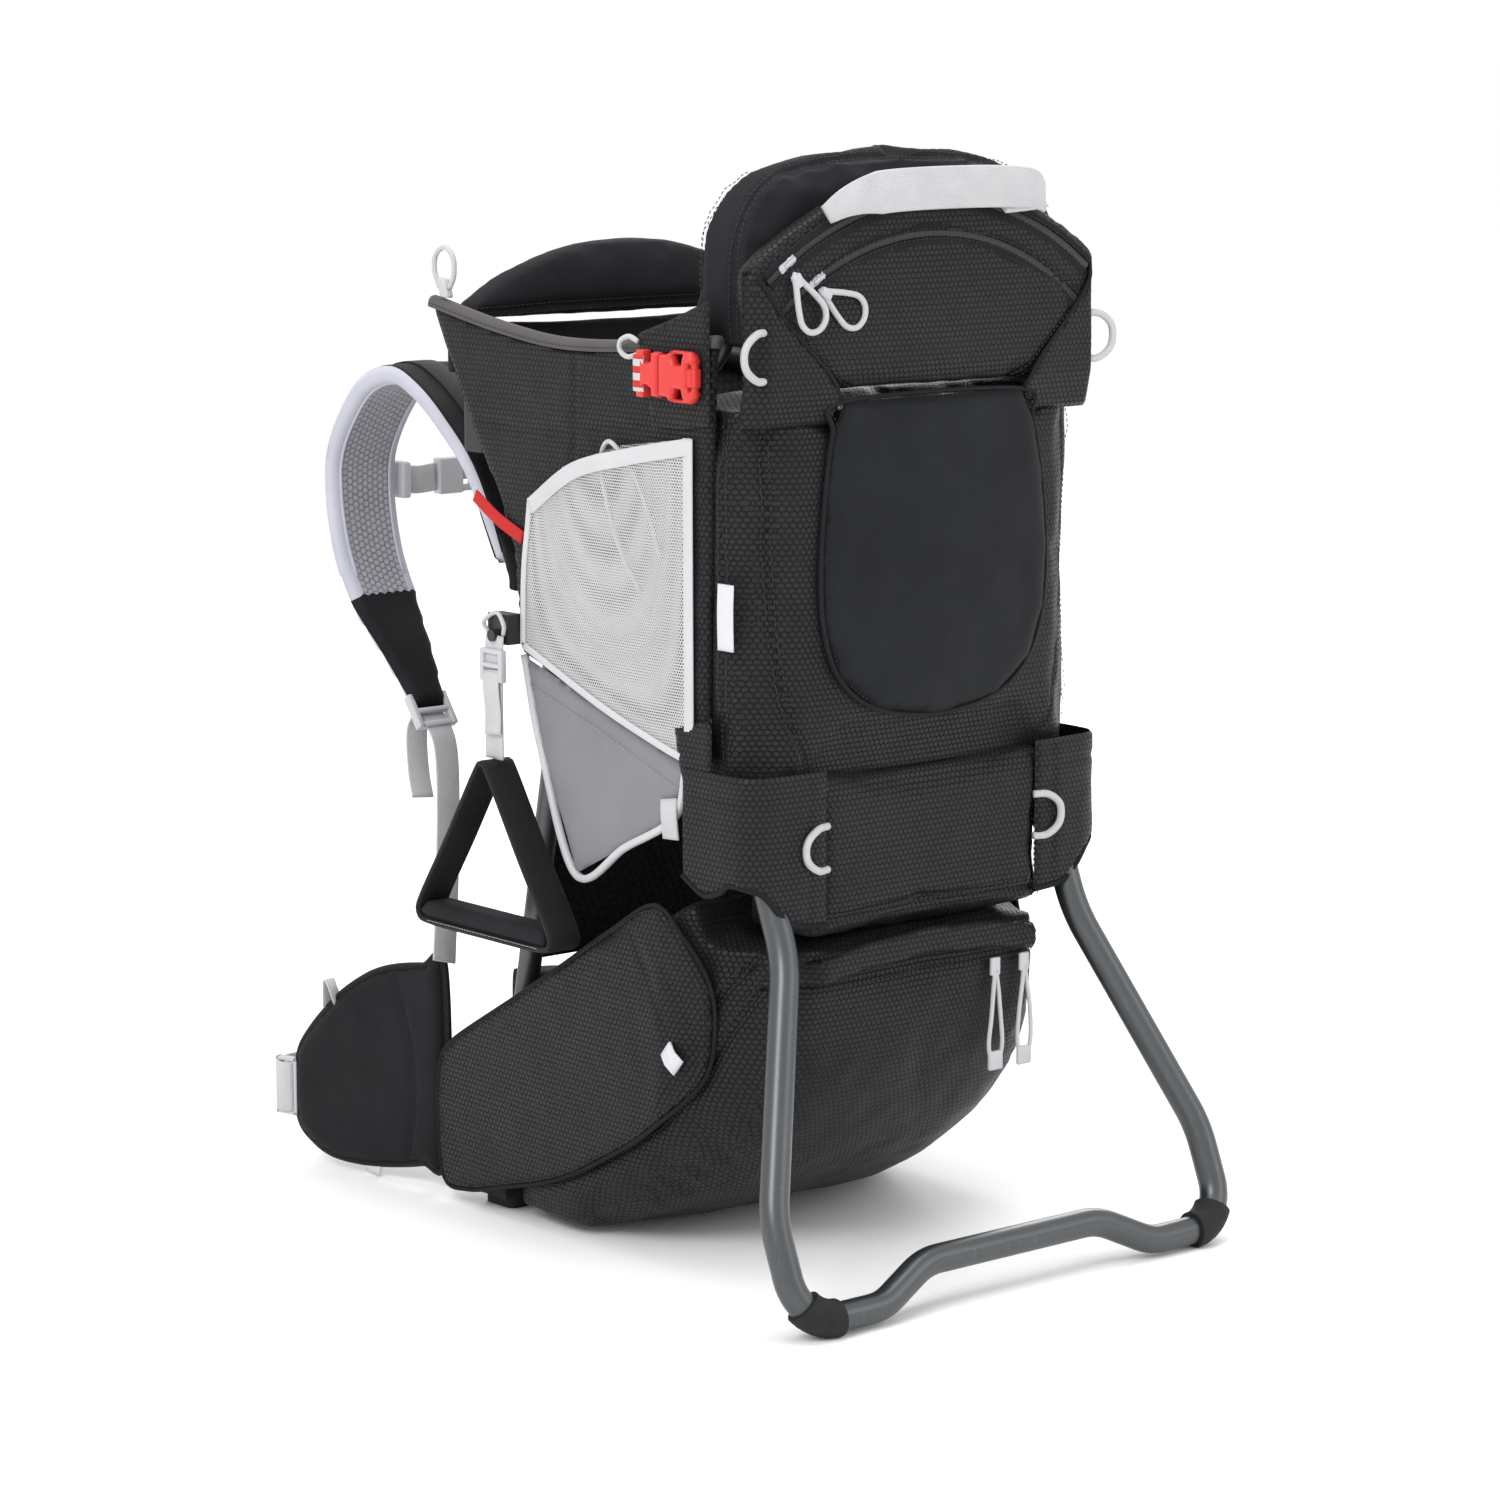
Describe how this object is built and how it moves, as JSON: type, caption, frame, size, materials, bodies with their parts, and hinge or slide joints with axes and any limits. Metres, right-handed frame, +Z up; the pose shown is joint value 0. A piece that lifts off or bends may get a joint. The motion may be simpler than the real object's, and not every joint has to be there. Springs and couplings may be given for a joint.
{
  "type": "framed baby carrier backpack",
  "caption": "Framed child carrier backpack with padded cockpit, shoulder harness, hip belt, stirrups, storage bags and a folding tubular kickstand.",
  "frame": {"origin": "on the floor under the middle of the carrier, at the centre of its bounding box", "axes": "+X to the wearer's right, +Y the way the wearer walks, +Z up"},
  "size_m": [0.393, 0.6121, 0.73],
  "materials": {
    "pack_fabric": "embossed hexagon ripstop, black",
    "pad_fabric": "padded charcoal knit",
    "stretch_fabric": "smooth stretch woven, black",
    "air_mesh": "lavender grey spacer mesh",
    "net_mesh": "light grey open mesh",
    "fender_fabric": "mid grey smooth woven",
    "webbing": "light grey woven webbing",
    "rim_fabric": "taupe binding",
    "cord": "light grey cord",
    "red_trim": "red binding",
    "frame_metal": "gunmetal satin",
    "frame_tube": "anodised tube",
    "pin_steel": "plain steel",
    "black_plastic": "moulded black",
    "grey_plastic": "moulded light grey",
    "red_plastic": "moulded coral red",
    "foot_rubber": "matt rubber"
  },
  "bodies": {
    "pack": {"back_panel": "pad_fabric", "band_wings": "pack_fabric", "base_bar": "frame_tube", "base_feet": "black_plastic", "buckle_sockets": "red_plastic", "cockpit_front": "pack_fabric", "cockpit_rail": "frame_tube", "cord_loops": "cord", "frame_hoop": "frame_tube", "frame_joints": "black_plastic", "front_collar": "pad_fabric", "grab_handle": "webbing", "headrest": "pad_fabric", "hinge_band": "pack_fabric", "hinge_brackets": "black_plastic", "hinge_pins": "pin_steel", "hip_fins": "pack_fabric", "leg_fenders": "fender_fabric", "lower_bag": "pack_fabric", "lumbar_pad": "pad_fabric", "mesh_pockets": "net_mesh", "rear_body": "pack_fabric", "rim_bindings": "rim_fabric", "side_flaps": "pack_fabric", "side_struts": "frame_tube", "side_tab": "webbing", "side_walls": "pack_fabric", "stirrup_tabs": "grey_plastic", "strap_webbings": "webbing", "stretch_pocket": "stretch_fabric", "trim_strips": "red_trim", "zip_flap": "pack_fabric", "zip_pocket": "pack_fabric"},
    "kickstand": {"kickstand_tube": "frame_metal", "leg_eyes": "black_plastic", "kickstand_feet": "foot_rubber"},
    "harness": {"harness_yoke": "pad_fabric", "shoulder_straps": "pad_fabric", "strap_locks": "grey_plastic"},
    "sternum": {"sternum_straps": "webbing", "sternum_buckle": "grey_plastic"},
    "seat": {"seat_cushion": "pad_fabric", "seat_back": "pad_fabric", "child_straps": "pad_fabric", "child_buckle": "black_plastic"},
    "hip_left": {"hip_wing_left": "pack_fabric", "belt_strap_left": "webbing", "belt_buckle_left": "grey_plastic"},
    "hip_right": {"hip_wing_right": "pack_fabric", "belt_strap_right": "webbing", "belt_buckle_right": "grey_plastic"},
    "stirrup_left": {"stirrup_left": "pad_fabric"},
    "stirrup_right": {"stirrup_right": "pad_fabric"},
    "plug_left": {"buckle_plug_left": "red_plastic"},
    "plug_right": {"buckle_plug_right": "red_plastic"},
    "slider_outer": {"zip_slider_outer": "grey_plastic"},
    "pull_outer": {"zip_pull_outer": "cord"},
    "slider_inner": {"zip_slider_inner": "grey_plastic"},
    "pull_inner": {"zip_pull_inner": "cord"},
    "lower_zip": {"lower_zip_pulls": "cord"}
  },
  "joints": [
    {"name": "kickstand_fold", "type": "hinge", "parent": "pack", "child": "kickstand", "pos_m": [0, -0.175, 0.305], "axis": [1, 0, 0], "range_deg": [0, 18]},
    {"name": "harness_height", "type": "slide", "parent": "pack", "child": "harness", "axis": [0, 0.3714, 0.9285], "range_m": [0, 0.04]},
    {"name": "sternum_height", "type": "slide", "parent": "harness", "child": "sternum", "axis": [0, 0, 1], "range_m": [-0.02, 0.02]},
    {"name": "seat_height", "type": "slide", "parent": "pack", "child": "seat", "axis": [0, 0, 1], "range_m": [-0.03, 0.03]},
    {"name": "hip_swing_left", "type": "hinge", "parent": "pack", "child": "hip_left", "pos_m": [-0.138, 0.14, 0.09], "axis": [0, 0, 1], "range_deg": [-5, 40]},
    {"name": "hip_swing_right", "type": "hinge", "parent": "pack", "child": "hip_right", "pos_m": [0.138, 0.14, 0.09], "axis": [0, 0, -1], "range_deg": [-5, 40]},
    {"name": "stirrup_swing_left", "type": "hinge", "parent": "pack", "child": "stirrup_left", "pos_m": [-0.162, 0.044, 0.404], "axis": [1, 0, 0], "range_deg": [-20, 35]},
    {"name": "stirrup_swing_right", "type": "hinge", "parent": "pack", "child": "stirrup_right", "pos_m": [0.162, 0.044, 0.404], "axis": [1, 0, 0], "range_deg": [-20, 35]},
    {"name": "buckle_release_left", "type": "slide", "parent": "pack", "child": "plug_left", "axis": [0, 1, 0], "range_m": [0, 0.02]},
    {"name": "buckle_release_right", "type": "slide", "parent": "pack", "child": "plug_right", "axis": [0, 1, 0], "range_m": [0, 0.02]},
    {"name": "zip_outer", "type": "hinge", "parent": "pack", "child": "slider_outer", "pos_m": [0, -0.205, 0.4787], "axis": [0, 1, 0], "range_deg": [0, 68]},
    {"name": "pull_swing_outer", "type": "hinge", "parent": "slider_outer", "child": "pull_outer", "pos_m": [-0.12134, -0.21, 0.6526], "axis": [0, 1, 0], "range_deg": [-40, 50]},
    {"name": "zip_inner", "type": "hinge", "parent": "pack", "child": "slider_inner", "pos_m": [0, -0.205, 0.4787], "axis": [0, 1, 0], "range_deg": [0, 60]},
    {"name": "pull_swing_inner", "type": "hinge", "parent": "slider_inner", "child": "pull_inner", "pos_m": [-0.0975, -0.208, 0.64157], "axis": [0, 1, 0], "range_deg": [0, 82]},
    {"name": "lower_zip_slide", "type": "slide", "parent": "pack", "child": "lower_zip", "axis": [-1, 0, 0], "range_m": [0, 0.12]}
  ]
}
